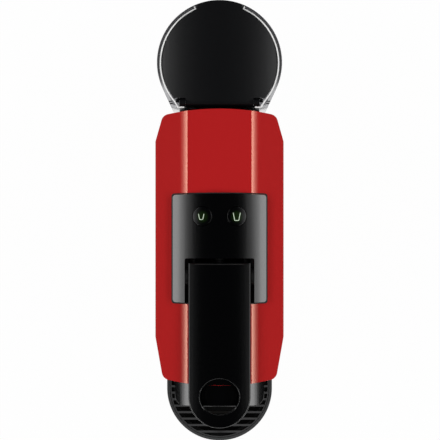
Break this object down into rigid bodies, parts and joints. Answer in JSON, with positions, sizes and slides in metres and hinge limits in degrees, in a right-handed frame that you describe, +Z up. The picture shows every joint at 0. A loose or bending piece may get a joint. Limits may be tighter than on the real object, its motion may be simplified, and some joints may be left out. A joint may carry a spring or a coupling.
{
  "type": "pod coffee machine",
  "caption": "Narrow countertop pod coffee machine with a top lever, lit buttons, a lift-off water tank behind and a pull-out drip tray with a capsule bin in front.",
  "frame": {"origin": "on the worktop, under the middle of the machine's outer box", "axes": "+Z up, the drip tray and the lever's finger hole point to -Y, the water tank to +Y"},
  "size_m": [0.0926, 0.33, 0.204],
  "materials": {
    "shell_red": "glossy red",
    "gloss_black": "glossy black",
    "satin_black": "satin black",
    "inner_grey": "moulded dark grey",
    "white_plastic": "moulded natural white",
    "clear_tank": "clear, polished",
    "icon_light": "translucent, lit",
    "rubber_black": "matte",
    "hose_clear": "milky silicone",
    "steel": "brushed",
    "cast_aluminium": "as cast",
    "copper_coil": "enamelled winding",
    "board_green": "solder mask"
  },
  "bodies": {
    "machine": {"outer_shell": "shell_red", "base_plate": "satin_black", "rubber_feet": "rubber_black", "rear_wall": "satin_black", "front_nose": "gloss_black", "head_floor": "satin_black", "control_panel": "gloss_black", "button_board": "board_green", "tact_switches": "inner_grey", "board_posts": "satin_black", "lever_pin": "steel", "brew_frame_left": "satin_black", "brew_frame_right": "satin_black", "plate_holder": "inner_grey", "outlet_plate": "steel", "plate_seal": "rubber_black", "coffee_spout": "gloss_black", "inlet_sleeve": "white_plastic", "brew_deck": "inner_grey", "chassis_wall": "inner_grey", "tank_socket": "white_plastic", "thermoblock": "cast_aluminium", "thermostat": "steel", "heater_terminals": "steel", "pump": "white_plastic", "pump_coil": "copper_coil", "pump_mounts": "rubber_black", "flow_meter": "white_plastic", "suction_hose": "hose_clear", "feed_hose": "hose_clear", "pressure_hose": "hose_clear", "main_board": "board_green", "board_screws": "steel", "board_parts": "inner_grey", "cord_gland": "rubber_black"},
    "lever": {"lever_cover": "gloss_black", "lever_arm": "satin_black", "cam_plate_left": "satin_black", "cam_plate_right": "satin_black"},
    "carriage": {"brew_carriage": "inner_grey", "follower_pins": "steel", "piercing_spikes": "steel"},
    "espresso_key": {"espresso_button": "gloss_black", "espresso_icon": "icon_light"},
    "lungo_key": {"lungo_button": "gloss_black", "lungo_icon": "icon_light"},
    "tank": {"water_tank": "clear_tank", "tank_valve": "white_plastic", "lid_pin": "steel"},
    "lid": {"tank_lid": "gloss_black"},
    "drawer": {"drip_tray": "gloss_black", "capsule_bin": "satin_black"},
    "grid": {"drip_grid": "satin_black"}
  },
  "joints": [
    {"name": "lever_hinge", "type": "hinge", "parent": "machine", "child": "lever", "pos_m": [0, -0.034, 0.194], "axis": [-1, 0, 0], "range_deg": [0, 95]},
    {"name": "brew_slide", "type": "slide", "parent": "machine", "child": "carriage", "axis": [0, 1, 0], "range_m": [0, 0.028]},
    {"name": "espresso_press", "type": "slide", "parent": "machine", "child": "espresso_key", "axis": [0, 0, -1], "range_m": [0, 0.001], "stiffness_N_per_m": 400, "springref_m": -0.002},
    {"name": "lungo_press", "type": "slide", "parent": "machine", "child": "lungo_key", "axis": [0, 0, -1], "range_m": [0, 0.001], "stiffness_N_per_m": 400, "springref_m": -0.002},
    {"name": "tank_lift", "type": "slide", "parent": "machine", "child": "tank", "axis": [0, 0, 1], "range_m": [0, 0.2]},
    {"name": "lid_hinge", "type": "hinge", "parent": "tank", "child": "lid", "pos_m": [0, 0.0912, 0.1866], "axis": [1, 0, 0], "range_deg": [0, 90]},
    {"name": "drawer_slide", "type": "slide", "parent": "machine", "child": "drawer", "axis": [0, -1, 0], "range_m": [0, 0.11]},
    {"name": "grid_lift", "type": "slide", "parent": "drawer", "child": "grid", "axis": [0, 0, 1], "range_m": [0, 0.05]}
  ],
  "couplings": [
    {"joint": "brew_slide", "follows": "lever_hinge", "m_per_rad": 0.016887}
  ]
}
